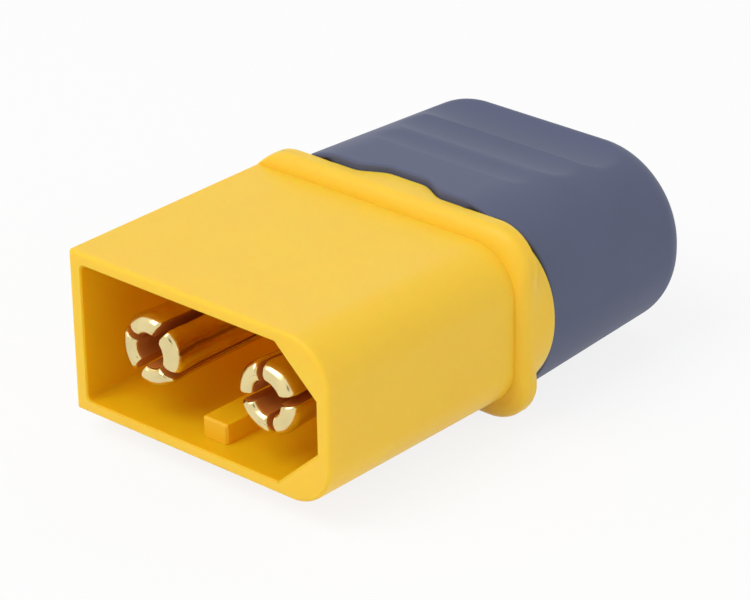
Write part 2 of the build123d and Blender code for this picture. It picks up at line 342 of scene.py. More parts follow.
# %% Rings of the flange's back
def flange_back_rings(outer, start):
    """From the flange's side over its rear edge, across the ledge in each corner and up the tongues.

    The ledge at a sample is the way from the tongues' outline out to the flange's. In a corner the
    flange's rear edge is rounded on it, and the tongue rises from its inner end. On a narrow side there
    is no step: the side runs straight from the flange's outline to the tongue's edge. The share of the
    corner's form grows from 0 to 1 as a smooth step of the height at the sample.
    """
    foot = tongue_foot()
    rim = onto_flange(foot)
    ledge = np.maximum(np.hypot(*(rim - foot).T), 1e-6)
    height = tongued(foot)
    soft = np.maximum(1 - ledge / FLANGE_REAR_ROUND, np.clip(height / FLANGE_REAR_ROUND, 0, 1))
    limit = FLANGE_BACK + height - FLANGE_REAR_ROUND * soft
    t = np.clip((np.abs(foot[:, 1]) - CORNER_FROM) / (CORNER_TO - CORNER_FROM), 0, 1)
    corner = t * t * (3 - 2 * t)

    def step(left, y):
        """A ring at y, where left is the part of the ledge that still lies inside it."""
        y = np.minimum(y, limit)
        straight = 1 - (y - start) / (limit - start)
        left = np.clip(left * corner + straight * (1 - corner), 0, 1)
        return ring(foot + (rim - foot) * left[:, None], y)

    rings = []
    for share in (0, 0.33, 0.67):
        points = onto_flange(outer + (foot - outer) * share)
        rings.append(ring(points, start - CLOSE * (1 - share)))
    side_end = FLANGE_BACK - FLANGE_REAR_ROUND
    rings += [step(1, start + (side_end - CLOSE - start) * share) for share in (0, 0.5, 1)]
    for along, across in quarter_round(FLANGE_REAR_ROUND, REAR_STEPS):
        rings.append(step(1 - across / ledge, FLANGE_BACK - along))
    near_foot = np.where(ledge > FLANGE_REAR_ROUND + 2 * CLOSE, CLOSE / ledge, 0)
    rings += [step(near_foot, FLANGE_BACK), step(0, FLANGE_BACK), step(0, FLANGE_BACK + CLOSE)]
    rings += [step(0, FLANGE_BACK + CLOSE + (height - CLOSE) * share) for share in (0.33, 0.67)]
    for along, across in quarter_round(FLANGE_REAR_ROUND, REAR_STEPS):
        rings.append(ring(tongue_foot(across), FLANGE_BACK + height - along * soft))
    return rings


SWELL_END = SHROUD_LEN + FLANGE_FRONT
flange_outline = rounded(*FLANGE, FLANGE_CORNER)
flange_back = flange_back_rings(flange_outline, SWELL_END + 2 * CLOSE)
print("rings of the flange's back:", len(flange_back))

# %% Rings of the shroud and of the flange's front
def shroud_rings():
    """From the cavity's floor forwards along its wall, over the rim and back along the outside."""
    mouth = RIM_INNER + 2 * CLOSE
    rings = [ring(cavity(), y) for y in (CAVITY_DEPTH, CAVITY_DEPTH - CLOSE, mouth, RIM_INNER)]
    rings += [ring(cavity(-RIM_INNER), 0)]
    inner, outer = cavity(-RIM_INNER), shroud(RIM_ROUND)
    rings += [ring(inner + (outer - inner) * share, 0) for share in (0.15, 0.85)]
    rings += [ring(shroud(across), along) for across, along in quarter_round(RIM_ROUND)]
    rings += [ring(shroud(), y) for y in (RIM_ROUND + CLOSE, SHROUD_LEN - CLOSE, SHROUD_LEN)]
    return rings


def swell_rings():
    """The flange's front: a quarter of an ellipse from the shroud's outline out to the flange's."""
    return [
        ring(flange_outline + (shroud() - flange_outline) * left, SHROUD_LEN + FLANGE_FRONT * along)
        for left, along in quarter_round(1, SWELL_STEPS)
    ]


print("rings of shroud and flange front:", len(shroud_rings()), "and", len(swell_rings()))

# %% Rings of the tail
def seat_rings():
    """The wavy face behind the flange, from the tongues' edge inwards to the tail."""
    inner, outer = tongue_foot(FLANGE_REAR_ROUND), tail()
    rings = []
    for share in np.linspace(0.1, 1, 8):
        points = inner + (outer - inner) * share
        rings.append(ring(points, FLANGE_BACK + tongued(points)))
    return rings


def tail_rings(tail_end):
    """The tail, with the catch as a bump on both wide faces, and its broken end."""
    rings = []
    start, length, _, half_width = CATCH
    back = FLANGE_BACK + tongued(tail())
    levels = [start, start + CLOSE, start + length / 4, start + length, tail_end - TAIL_BREAK - CLOSE]
    for step, level in enumerate(levels + [tail_end - TAIL_BREAK]):
        points = tail()
        on_catch = (np.abs(points[:, 0]) <= half_width) & (np.abs(points[:, 1]) > TAIL[1] / 2 - CLOSE)
        points[:, 1] += np.where(on_catch, np.sign(points[:, 1]) * catch_rise(level), 0)
        rings.append(ring(points, np.maximum(level, back + CLOSE * (1 + step) / 10)))
    rings.append(ring(tail(TAIL_BREAK), tail_end))
    return rings


print("rings of seat and tail:", len(seat_rings()), "and", len(tail_rings(shell_high[1])))

# %% The stepped holes and the key
def hole_wall(x, tail_end):
    """The wall of one stepped hole, round the contact's axis at x, from front to back."""
    angle = np.arange(HOLE_SAMPLES) * 2 * pi / HOLE_SAMPLES
    circle = np.stack([np.cos(angle), np.sin(angle)], 1)
    ends = [start for start, _ in HOLES[1:]] + [tail_end]
    rings = [
        ring(circle * radius + (x, 0), y) for (start, radius), end in zip(HOLES, ends) for y in (start, end)
    ]
    return skin(rings)


def key_block(width=KEY_WIDTH, height=KEY_HEIGHT, front=1.0, edge=0.1, sink=0.04):
    """The key: a bar on the lower wall, its front and top edges eased, its foot and rear end sunk in."""
    low = -(SHROUD[1] / 2 - WALLS[1]) - sink
    rings = []
    for inset, y in ((edge, front), (0, front + edge), (0, front + 2 * edge), (0, CAVITY_DEPTH + sink)):
        points = rounded(width - 2 * inset, height + sink - inset, edge)
        rings.append(ring(points + (0, low + (height + sink - inset) / 2), y))
    caps = [np.broadcast_to(rings[end].mean(0), rings[end].shape) for end in (0, -1)]
    return skin([caps[0]] + rings + [caps[1]])


print("faces of a hole and of the key:", len(hole_wall(0, shell_high[1])[1]), len(key_block()[1]))

# %% The shell in one mesh
def make_shell():
    """The whole shell: its chain of rings, the flat floor and tail end with their holes, and the key."""
    tail_end = shell_high[1]
    axes = (-PITCH / 2, PITCH / 2)
    chain = shroud_rings() + swell_rings() + flange_back + seat_rings() + tail_rings(tail_end)
    surfaces = [skin(chain)]
    surfaces.append(flat_fill(cavity(), [(x, HOLES[0][1], HOLE_SAMPLES) for x in axes], CAVITY_DEPTH))
    surfaces.append(flat_fill(tail(TAIL_BREAK), [(x, HOLES[-1][1], HOLE_SAMPLES) for x in axes], tail_end))
    surfaces += [hole_wall(x, tail_end) for x in axes]
    surfaces.append(key_block())
    return make_piece("shell", surfaces)


shell = make_shell()
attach(shell, "plug")
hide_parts("housing")

# %% [markdown]
# ## The cover
#
# A cover like this is one skin that turns in on itself: along the outside, round the rear edge, in
# through the wire entry and back along the inside to the front. So its rings form a closed loop. The
# finger grooves are round bars pressed across both wide faces. Where a bar meets the flat, a smooth
# minimum blends the two, which gives the soft ridges that a mould gives.

# %% Sizes of the cover
COVER_WIDTH = cover_high[0] - cover_low[0]
COVER_FRONT_HEIGHT = 10.35
COVER_END = cover_high[1]
COVER_FALL = 0.6                    # of each wide face, from front to rear
COVER_CORNER = 4.5
FRONT_EDGE = 0.12
END_ROUND = 1.5
END_WALL = 1.7
ENTRY = (12.2, 5.0)
ENTRY_ROUND = 0.3
HOLLOW = (13.0, 6.6, 3.15)          # at the end wall
BORE = (14.46, 8.06, 3.88)          # round the tail
BORE_END = 17.45
KEYWAY = (1.9, 4.35, 16.15)         # half width, half height, rear end
GROOVES = ((17.65, 0.09), (20.1, 0.255), (22.55, 0.42))   # place and depth under the flat
GROOVE_RADIUS = 3.4
GROOVE_BLEND = 0.05
STRAIGHT_FROM = 16.5                # behind here the rings no longer follow the tongues
LENGTH_RINGS = 96                   # enough for the grooves to look smooth
END_STEPS = 20

print("cover", np.round([COVER_WIDTH, COVER_FRONT_HEIGHT, COVER_END], 2))


# %% Outlines of the cover
def drop(y):
    """How far a wide face has come down at y."""
    return COVER_FALL * (y - FLANGE_BACK) / (COVER_END - FLANGE_BACK)


def soft_min(a, b, blend):
    """The smaller of two values, eased into each other where they are within blend."""
    h = np.clip(0.5 + (b - a) / (2 * blend), 0, 1)
    return b * (1 - h) + a * h - blend * h * (1 - h)


def groove_ceiling(y):
    """Height that the bars leave at y: each is a circle that dips under the flat by its depth."""
    ceiling = np.full(np.shape(y), np.inf)
    for place, depth in GROOVES:
        low = COVER_FRONT_HEIGHT / 2 - drop(place) - depth
        reach = np.clip(1 - ((y - place) / GROOVE_RADIUS) ** 2, 0, 1)
        ceiling = np.minimum(ceiling, low + GROOVE_RADIUS * (1 - np.sqrt(reach)))
    return ceiling


def cover_ring(y, inset=0):
    """One outer ring: the front outline let down by the fall at y, then held under the grooves.

    The level part of the narrow side takes up the fall, so that the long roundings keep their radius.
    """
    points = rounded(COVER_WIDTH - 2 * inset, COVER_FRONT_HEIGHT - 2 * inset, COVER_CORNER - inset)
    y = np.broadcast_to(y, len(points))
    level = COVER_FRONT_HEIGHT / 2 - COVER_CORNER
    height = np.abs(points[:, 1])
    lowered = np.maximum(height - level, 0) + np.minimum(height, level) * (level - drop(y)) / level
    held = soft_min(lowered, groove_ceiling(y), GROOVE_BLEND)
    return ring(np.column_stack([points[:, 0], np.sign(points[:, 1]) * held]), y)


def bore_ring(y, in_keyway):
    """One ring of the bore, widened by the two keyways where they run."""
    points = rounded(*BORE)
    half_width, half_height, _ = KEYWAY
    on_face = (np.abs(points[:, 0]) <= half_width) & (np.abs(points[:, 1]) > BORE[1] / 2 - CLOSE)
    if in_keyway:
        points[:, 1] = np.where(on_face, np.sign(points[:, 1]) * half_height, points[:, 1])
    return ring(points, y)


print("bars dip to", [round(float(groove_ceiling(place)), 2) for place, _ in GROOVES], "mm above the axis")

# %% Rings of the cover's outside
def cover_outside():
    """From the tongued front edge over the grooves and round the rear edge."""
    front = FLANGE_BACK + SEAT_GAP + tongued(cover_ring(FLANGE_BACK, FRONT_EDGE)[:, ::2])
    rings = []
    for across, along in quarter_round(FRONT_EDGE, 4):
        rings.append(cover_ring(front + along, across))
    start = front + FRONT_EDGE
    for share in (0.02, 0.25, 0.5, 0.75):
        rings.append(cover_ring(start + (STRAIGHT_FROM - start) * share))
    rings += [cover_ring(y) for y in np.linspace(STRAIGHT_FROM, COVER_END - END_ROUND, LENGTH_RINGS)]
    for along, across in quarter_round(END_ROUND, END_STEPS)[1:]:
        rings.append(cover_ring(COVER_END - along, across))
    return rings


outside = cover_outside()
print("rings of the outside:", len(outside))

# %% Rings of the cover's inside
def entry(outset):
    """Outline of the wire entry: an oblong with half-round ends."""
    return rounded(ENTRY[0] + 2 * outset, ENTRY[1] + 2 * outset, ENTRY[1] / 2 + outset)


def cover_inside(rear_ring):
    """From the rear face in through the wire entry and forwards to the front edge."""
    outer, inner = rear_ring[:, ::2], entry(ENTRY_ROUND)
    rings = [ring(outer + (inner - outer) * share, COVER_END) for share in (0.3, 0.9)]
    rings += [ring(entry(across), COVER_END - along) for across, along in quarter_round(ENTRY_ROUND)]
    wall = COVER_END - END_WALL
    rings += [ring(entry(0), y) for y in (COVER_END - ENTRY_ROUND - CLOSE, wall + CLOSE, wall)]
    rings += [ring(entry(0) + (rounded(*HOLLOW) - entry(0)) * share, wall) for share in (0.1, 0.9)]
    rings += [ring(rounded(*HOLLOW), y) for y in (wall, wall - CLOSE)]
    rings += [bore_ring(y, False) for y in (BORE_END, BORE_END - CLOSE, KEYWAY[2])]
    front = FLANGE_BACK + SEAT_GAP + tongued(rounded(*BORE))
    rings += [bore_ring(y, True) for y in (KEYWAY[2], front + CLOSE)]
    return rings


def front_face():
    """The wavy front face, from the bore out to the first ring of the outside."""
    rings = []
    inner, outer = bore_ring(FLANGE_BACK, True)[:, ::2], outside[0][:, ::2]
    for share in (0, 0.3, 0.6, 0.9):
        points = inner + (outer - inner) * share
        rings.append(ring(points, FLANGE_BACK + SEAT_GAP + tongued(points)))
    return rings + outside[:1]


cover = make_piece("cover", [skin(outside + cover_inside(outside[-1]) + front_face())])
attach(cover, "cover")
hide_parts("wire_cover")

# %% [markdown]
# ## The two contacts
#
# Each contact is turned from one rod. The pin in front is drilled and split by two crossed saw cuts
# into four petals. A round rod with cuts would have to be cut with Booleans, and the polished ends
# would show every flaw, so each petal is its own surface: a rounded quarter of a ring, carried along
# the pin while its radius follows the crowned head.

# %% Sizes of a contact
TIP = contact_low[1]
CUP_END = contact_high[1]
PIN_RADIUS = 1.7
CROWN_RADIUS = 1.77
TIP_ROUND = 0.58
CROWN_FALL = 1.3
HOLLOW_RADIUS = 0.82
LIP_ROUND = 0.36
SLOT = 0.38
SLOT_END = 8.55
SLOT_EDGE = 0.16                    # rounding along the outside of a slot
TURNS = {"contact_positive": 58, "contact_negative": 13}    # degrees, as in the photo

print("a contact runs from", round(TIP, 2), "to", round(CUP_END, 2), "mm")


# %% The section of a petal
def petal_rails(outer, inner):
    """The two sides of one petal's section, as equal rows of points in the quarter between two slots.

    The long rail runs up one slot wall, round its rounded edge, along the outer arc and down the
    other wall; the short rail is the inner arc.
    """
    half = SLOT / 2
    edge = min(SLOT_EDGE, 0.45 * (outer - inner))
    centre = np.array([np.sqrt((outer - edge) ** 2 - (half + edge) ** 2), half + edge])
    foot = np.array([np.sqrt(inner ** 2 - half ** 2), half])
    lean = atan2(centre[1], centre[0])
    t = np.linspace(0, 1, 6)[:-1, None]
    wall = foot * (1 - t) + np.array([centre[0], half]) * t
    angle = np.linspace(-pi / 2, lean, 8)[:-1]
    bend = centre + edge * np.stack([np.cos(angle), np.sin(angle)], 1)
    angle = np.linspace(lean, pi / 4, 14)
    arc = outer * np.stack([np.cos(angle), np.sin(angle)], 1)
    first_half = np.concatenate([wall, bend, arc])
    long_rail = np.concatenate([first_half, first_half[:-1, ::-1][::-1]])
    angle = np.linspace(atan2(foot[1], foot[0]), atan2(foot[0], foot[1]), len(long_rail))
    short_rail = inner * np.stack([np.cos(angle), np.sin(angle)], 1)
    return long_rail, short_rail


def slot_ease(rail, y):
    """Places along the pin for a rail at y: the domed end is rounded down towards both slots.

    At a distance d from the slot wall, under the rounding's radius r, a point lies back by
    r - sqrt(r^2 - (r - d)^2), and the whole amount fades out over the dome.
    """
    d = np.clip(rail.min(1) - SLOT / 2, 0, SLOT_EDGE)
    fade = np.clip(1 - (y - TIP) / TIP_ROUND, 0, 1)
    return y + fade * (SLOT_EDGE - np.sqrt(SLOT_EDGE ** 2 - (SLOT_EDGE - d) ** 2))


print("samples round a petal:", 2 * len(petal_rails(PIN_RADIUS, HOLLOW_RADIUS)[0]) - 2)

# %% A petal from tip to root
TIP_STEPS = 14
CROWN_STEPS = 10


def petal_stations():
    """Place, outer radius and inner radius at each step: the domed tip, then the crown, then the shank."""
    stations = []
    for angle in np.linspace(0, pi / 2, TIP_STEPS):
        back = TIP_ROUND * (1 - cos(angle))
        outer = CROWN_RADIUS - TIP_ROUND * (1 - sin(angle))
        lip = LIP_ROUND - np.sqrt(max(LIP_ROUND ** 2 - max(LIP_ROUND - back, 0) ** 2, 0))
        stations.append((TIP + back, outer, HOLLOW_RADIUS + lip))
    for share in np.linspace(0, 1, CROWN_STEPS)[1:]:
        fall = share * share * (3 - 2 * share)
        y = TIP + TIP_ROUND + CROWN_FALL * share
        stations.append((y, CROWN_RADIUS - (CROWN_RADIUS - PIN_RADIUS) * fall, HOLLOW_RADIUS))
    return stations + [(y, PIN_RADIUS, HOLLOW_RADIUS) for y in (SLOT_END - CLOSE, SLOT_END + CLOSE)]


def petal(turn):
    """One petal: its section, turned round the axis, at every station, and a cap on both ends."""
    spin = np.array([[cos(turn), sin(turn)], [-sin(turn), cos(turn)]])
    rings, ends = [], []
    for y, outer, inner in petal_stations():
        long_rail, short_rail = petal_rails(outer, inner)
        long_y, short_y = slot_ease(long_rail, y), slot_ease(short_rail, y)
        section = np.concatenate([long_rail, short_rail[-2:0:-1]])
        rings.append(ring(section @ spin, np.concatenate([long_y, short_y[-2:0:-1]])))
        ends.append([ring(long_rail @ spin, long_y), ring(short_rail @ spin, short_y)])
    return [skin(rings), skin(ends[0], closed=False), skin(ends[-1], closed=False)]


print("stations along a petal:", len(petal_stations()))

# %% [markdown]
# ### The solid rear and its solder cup
#
# Behind the petals the contact is a plain turned part: a root, a knurled shoulder that grips the shell,
# and a cup for the wire. A profile spun round the axis gives all of it, and the knurls are a pulse on
# the shoulder's radius. Only the scoop that opens the cup on top is a flat saw cut.

# %% The solid rear of a contact
AROUND = 180
ROOT_RADIUS = 1.9
SHOULDER_RADIUS = 2.25
CUP_RADIUS = 2.5
CUP_BORE = 2.0
CUP_BREAK = 0.1
HOLLOW_END = 9.15
CUP_FLOOR = 16.95
KNURLS = 18
KNURL_DEPTH = 0.12
KNURL_FROM, KNURL_TO = 11.9, 15.5
KNURL_SHARPNESS = 1.4
PROFILE = (
    (0, HOLLOW_END), (HOLLOW_RADIUS, HOLLOW_END), (HOLLOW_RADIUS, SLOT_END), (PIN_RADIUS, SLOT_END),
    (PIN_RADIUS, HOLES[0][0]), (ROOT_RADIUS, HOLES[0][0]),
    (ROOT_RADIUS, HOLES[1][0]), (SHOULDER_RADIUS, HOLES[1][0]),
    (SHOULDER_RADIUS, HOLES[2][0]), (CUP_RADIUS, HOLES[2][0]),
    (CUP_RADIUS, CUP_END - CUP_BREAK), (CUP_RADIUS - CUP_BREAK, CUP_END),
    (CUP_BORE + CUP_BREAK, CUP_END), (CUP_BORE, CUP_END - CUP_BREAK), (CUP_BORE, CUP_FLOOR), (0, CUP_FLOOR),
)


def turned_rear():
    """The profile, given as radius and place, spun round the axis with a ring on each side of every edge.

    A knurl lowers the shoulder's radius by its depth times a cosine of the angle, cut off at 0 and 1.
    """
    profile = np.array(PROFILE)
    steps = np.diff(profile, axis=0)
    share = np.minimum(CLOSE / np.hypot(*steps.T), 0.5)[:, None]
    stack = np.stack([profile[:-1], profile[:-1] + steps * share, profile[1:] - steps * share], 1)
    radius, y = np.concatenate([stack.reshape(-1, 2), profile[-1:]]).T
    angle = np.arange(AROUND) * 2 * pi / AROUND
    on_knurl = (np.abs(radius - SHOULDER_RADIUS) < HAIR) & (y > KNURL_FROM) & (y < KNURL_TO)
    pulse = np.clip(KNURL_SHARPNESS * np.cos(KNURLS * angle), 0, 1)
    radius = radius[:, None] - KNURL_DEPTH * on_knurl[:, None] * pulse
    y = np.broadcast_to(y[:, None], radius.shape)
    return skin(np.stack([radius * np.cos(angle), y, radius * np.sin(angle)], -1))


print("faces of the solid rear:", len(turned_rear()[1]))

# %% The scoop in the cup
SCOOP_START = CUP_END - 1.7
SCOOP_HEIGHT = 0.5
BEYOND = 1.0                        # how far the cutting block stands out past the cup


def cut_scoop(piece, x):
    """Open the rear of the cup on top. This one cut is a Boolean: its walls are flat and meet sharply."""
    bpy.ops.mesh.primitive_cube_add(size=1)
    block = bpy.context.object
    half_width = CUP_RADIUS + BEYOND / 2
    low = np.array([x - half_width, SCOOP_START, SCOOP_HEIGHT]) * MM
    high = np.array([x + half_width, CUP_END + BEYOND, half_width + BEYOND]) * MM
    block.data.transform(Matrix.Translation((low + high) / 2) @ Matrix.Diagonal([*(high - low), 1]))
    cutter = piece.modifiers.new("scoop", "BOOLEAN")
    cutter.operation, cutter.solver, cutter.object = "DIFFERENCE", "EXACT", block
    cut = bpy.data.meshes.new_from_object(piece.evaluated_get(bpy.context.evaluated_depsgraph_get()))
    piece.modifiers.remove(cutter)
    piece.data = cut
    bpy.data.objects.remove(block)


print("scoop from", round(SCOOP_START, 2), "to", round(CUP_END, 2), "mm")

# %% Both contacts
CONTACTS = (("contact_positive", -PITCH / 2), ("contact_negative", PITCH / 2))
SHARP_METAL = 40                    # degrees; a cut metal edge is sharp from here on


def make_contact(name, x):
    """A contact: the solid rear, cut open at the cup, joined with the four petals."""
    rear = make_piece(name + "_gold", [turned_rear()])
    rear.data.transform(Matrix.Translation((x * MM, 0, 0)))
    cut_scoop(rear, x)
    surfaces = [surface for quarter in range(4) for surface in petal(radians(TURNS[name] + 90 * quarter))]
    petals = make_mesh(name + "_petals", surfaces, SHARP_METAL)
    petals.transform(Matrix.Translation((x * MM, 0, 0)))
    work = bmesh.new()
    work.from_mesh(rear.data)
    work.from_mesh(petals)
    work.to_mesh(rear.data)
    work.free()
    rear.data.name = rear.name
    rear.data.set_sharp_from_angle(angle=radians(SHARP_METAL))
    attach(rear, "plug")
    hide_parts(name)
    return rear


contacts = [make_contact(name, x) for name, x in CONTACTS]

# %% [markdown]
# ## Shader helpers
#
# A material is a small network of nodes, and most of the ones below need the same few steps: noise read
# at a place of the object, a colour or a value that drifts with it, and a bump. Each step gets a
# function that hands back the socket with its result, so that a material reads like a recipe. All
# patterns read Object coordinates, so that they stay on the piece when it moves.

# %% Nodes and arithmetic
def node(tree, kind, **values):
    """Add a shader node and set its plain values; names of sockets take spaces for underscores."""
    made = tree.nodes.new(kind)
    for name, value in values.items():
        socket = made.inputs.get(name.replace("_", " "))
        if socket is not None:
            socket.default_value = value
        else:
            setattr(made, name, value)
    return made


def maths(tree, operation, first, second):
    """The result of one operation on two sockets or plain numbers."""
    made = node(tree, "ShaderNodeMath", operation=operation)
    for socket, value in zip(made.inputs, (first, second)):
        if isinstance(value, (int, float)):
            socket.default_value = value
        else:
            tree.links.new(value, socket)
    return made.outputs[0]


def new_material(name):
    """An empty material with its tree of nodes and its main shader."""
    material = bpy.data.materials.new(name)
    material.use_nodes = True
    tree = material.node_tree
    return material, tree, tree.nodes["Principled BSDF"]


print("helpers for single nodes ready")

# %% Noise, drift and relief
def noise(tree, place, scale, detail, roughness=0.5):
    """Fractal noise read at a place of the object, with so many features to a metre."""
    made = node(tree, "ShaderNodeTexNoise", Scale=scale, Detail=detail, Roughness=roughness)
    tree.links.new(place, made.inputs["Vector"])
    return made.outputs["Fac"]


def drifting_colour(tree, share, span, first, last):
    """A colour that goes from the first to the last while share passes through the span."""
    tint = node(tree, "ShaderNodeValToRGB")
    for element, position, colour in zip(tint.color_ramp.elements, span, (first, last)):
        element.position = position
        element.color = (*colour, 1)
    tree.links.new(share, tint.inputs["Fac"])
    return tint.outputs["Color"]


def drifting_value(tree, share, first, last):
    """A value that goes from the first to the last while share goes from 0 to 1."""
    made = node(tree, "ShaderNodeMapRange")
    made.inputs["To Min"].default_value = first
    made.inputs["To Max"].default_value = last
    tree.links.new(share, made.inputs["Value"])
    return made.outputs["Result"]


def relief(tree, height, strength, depth, under=None):
    """A bump of so much depth in millimetres, laid over another one if that is given."""
    bump = node(tree, "ShaderNodeBump", Strength=strength, Distance=depth * MM)
    tree.links.new(height, bump.inputs["Height"])
    if under is not None:
        tree.links.new(under, bump.inputs["Normal"])
    return bump.outputs["Normal"]


print("helpers for patterns ready")

# %% [markdown]
# ## Moulded nylon
#
# Both mouldings are nylon. It looks flat from afar, but its colour drifts a little, and the fine texture
# of the mould breaks its gloss. The yellow one lets some light in, which comes out again deeper in
# colour. The shroud's walls are slim enough for light to come right through, so its cavity looks orange
# and never quite dark. A renderer would need very many bounces for that, so that light is painted in
# instead: the cavity's faces and the key take a deeper orange and a faint painted glow.

# %% Nylon material
CLOUDS = 260                        # features to a metre
MOULD_GRAIN = 9000
GRAIN_DEPTH = 0.01
GLOSS_DRIFT = 0.05
GLOW_RADII = (1.0, 0.4, 0.05)       # how far red, green and blue light go in, as shares of the scale
# colour of the painted glow in the cavity and on the key
PAINTED_GLOW_COLOUR = (1.0, 0.2, 0.0, 1)


def nylon(name, colour, drift, roughness, grain, gloss_level, glow=(0.0, 0.5), through=0.0):
    """A moulded plastic. drift is the share by which its colour wanders, grain the depth of its texture.

    glow is the share of the light that is scattered under the surface, and how far that goes in mm;
    through is the strength of a painted glow in deep orange, which stands in for the light that comes in
    through a slim wall from its lit other side.
    """
    material, tree, shader = new_material(name)
    shader.inputs["Specular IOR Level"].default_value = gloss_level
    shader.inputs["Subsurface Weight"].default_value = glow[0]
    shader.inputs["Subsurface Radius"].default_value = GLOW_RADII
    shader.inputs["Subsurface Scale"].default_value = glow[1] * MM
    # painted glow: an emission in deep orange that stands in for light coming in through the slim walls
    shader.inputs["Emission Color"].default_value = PAINTED_GLOW_COLOUR
    shader.inputs["Emission Strength"].default_value = through
    place = node(tree, "ShaderNodeTexCoord").outputs["Object"]
    cloud = noise(tree, place, CLOUDS, detail=3.0, roughness=0.55)
    darker = [c * (1 - drift) for c in colour]
    lighter = [min(c * (1 + drift), 1) for c in colour]
    tint = drifting_colour(tree, cloud, (0.3, 0.7), darker, lighter)
    tree.links.new(tint, shader.inputs["Base Color"])
    gloss = drifting_value(tree, cloud, roughness - GLOSS_DRIFT, roughness + GLOSS_DRIFT)
    tree.links.new(gloss, shader.inputs["Roughness"])
    texture = noise(tree, place, MOULD_GRAIN, detail=2.0)
    tree.links.new(relief(tree, texture, grain, GRAIN_DEPTH), shader.inputs["Normal"])
    return material


YELLOW, BLUE_GREY = (0.96, 0.6, 0.04), (0.1, 0.114, 0.188)
# painted light: the cavity's and the key's deeper oranges stand in for light bouncing inside the cavity
PAINTED_CAVITY_ORANGE, PAINTED_KEY_ORANGE = (0.66, 0.46, 0.004), (0.84, 0.46, 0.01)
MOULDED = {"roughness": 0.42, "grain": 0.25, "gloss_level": 0.32}
shell_materials = [
    nylon("yellow_nylon", YELLOW, 0.015, glow=(0.6, 0.6), **MOULDED),
    nylon("yellow_nylon_painted_cavity_light", PAINTED_CAVITY_ORANGE, 0.01, glow=(0.9, 1.0), through=0.14, **MOULDED),
    nylon("yellow_nylon_key_painted_light", PAINTED_KEY_ORANGE, 0.01, through=0.04, **MOULDED),
]
for material in shell_materials:
    shell.data.materials.append(material)
cover_material = nylon("blue_grey_nylon", BLUE_GREY, 0.04, roughness=0.5, grain=0.35, gloss_level=0.2)
cover.data.materials.append(cover_material)
print("nylons:", [material.name for material in shell_materials + [cover_material]])

# %% Which faces of the shell take the painted cavity light
def face_middles(piece):
    """The middle of every face in millimetres, as three arrays."""
    middle = np.empty(len(piece.data.polygons) * 3)
    piece.data.polygons.foreach_get("center", middle)
    return (middle.reshape(-1, 3) / MM).T


def painted_light_zones():
    """A number for each face of the shell: 0 outside, 1 on the cavity's walls and floor, 2 on the key.

    Faces 1 and 2 take painted light, a deeper orange and a painted glow. A face belongs to the cavity
    if its middle lies within the cavity's box, let out by a hair, and within the line of the slanted
    corners: x / reach x + |z| / reach z under its value on that line.
    """
    x, y, z = face_middles(shell)
    half_x, half_z = SHROUD[0] / 2 - WALLS[0] + CLOSE, SHROUD[1] / 2 - WALLS[1] + CLOSE
    slant = x / CAVITY_CUT[0] + abs(z) / CAVITY_CUT[1]
    slant_limit = half_x / CAVITY_CUT[0] + half_z / CAVITY_CUT[1] - 1
    in_box = (abs(x) < half_x) & (abs(z) < half_z) & (y > RIM_INNER / 2) & (y < CAVITY_DEPTH + CLOSE)
    on_key = (abs(x) <= KEY_WIDTH / 2) & (z < KEY_HEIGHT - half_z) & (y > CLOSE)
    on_key &= (z > CLOSE * 2 - half_z) | (abs(x) > KEY_WIDTH / 2 - HAIR)
    return np.where(in_box & (slant < slant_limit), np.where(on_key, 2, 1), 0).astype(np.int32)


painted_light_zone = painted_light_zones()
shell.data.polygons.foreach_set("material_index", painted_light_zone)
print("faces outside, in the cavity and on the key:", np.bincount(painted_light_zone))

# %% [markdown]
# ## Gold plate
#
# Plated gold is polished but follows the lathe: faint rings round the pin. A wave texture along the
# plug's length gives them as a bump, one noise gives the slight waves that polishing leaves, and another
# lets colour and gloss drift. The saw cuts and the drilled centre mirror the orange cavity, so those faces
# take a painted reflection: a duller, redder metal, picked out by their place with numpy.

# %% Gold materials
PATCHES = 700                       # features to a metre
POLISH_WAVES = 1300
TURNING_MARKS = 1200
PATCH_SHADE = 0.86


def gold(name, colour, metal, shiny, dull):
    """Gold plate with faint turning marks round the axis; shiny and dull are its two roughnesses."""
    material, tree, shader = new_material(name)
    shader.inputs["Metallic"].default_value = metal
    place = node(tree, "ShaderNodeTexCoord").outputs["Object"]
    patches = noise(tree, place, PATCHES, detail=2.0)
    tree.links.new(drifting_value(tree, patches, shiny, dull), shader.inputs["Roughness"])
    tint = drifting_colour(tree, patches, (0.35, 0.65), [c * PATCH_SHADE for c in colour], colour)
    tree.links.new(tint, shader.inputs["Base Color"])
    waves = noise(tree, place, POLISH_WAVES, detail=1.0)
    polish = relief(tree, waves, strength=0.35, depth=0.1)
    marks = node(tree, "ShaderNodeTexWave", bands_direction="Y", Scale=TURNING_MARKS)
    marks.inputs["Distortion"].default_value = 1.5
    marks.inputs["Detail"].default_value = 2.0
    tree.links.new(place, marks.inputs["Vector"])
    turned = relief(tree, marks.outputs["Fac"], strength=0.08, depth=0.01, under=polish)
    tree.links.new(turned, shader.inputs["Normal"])
    return material


plate = gold("gold_plate", (0.8, 0.66, 0.33), metal=1.0, shiny=0.12, dull=0.24)
# painted reflection: the orange cavity mirrored in the saw cuts and the drilled centre, as a duller, redder
# metal
painted_reflection_plate = gold("gold_painted_reflection", (0.62, 0.2, 0.03), metal=0.35, shiny=0.45, dull=0.6)
print("golds:", plate.name, painted_reflection_plate.name)

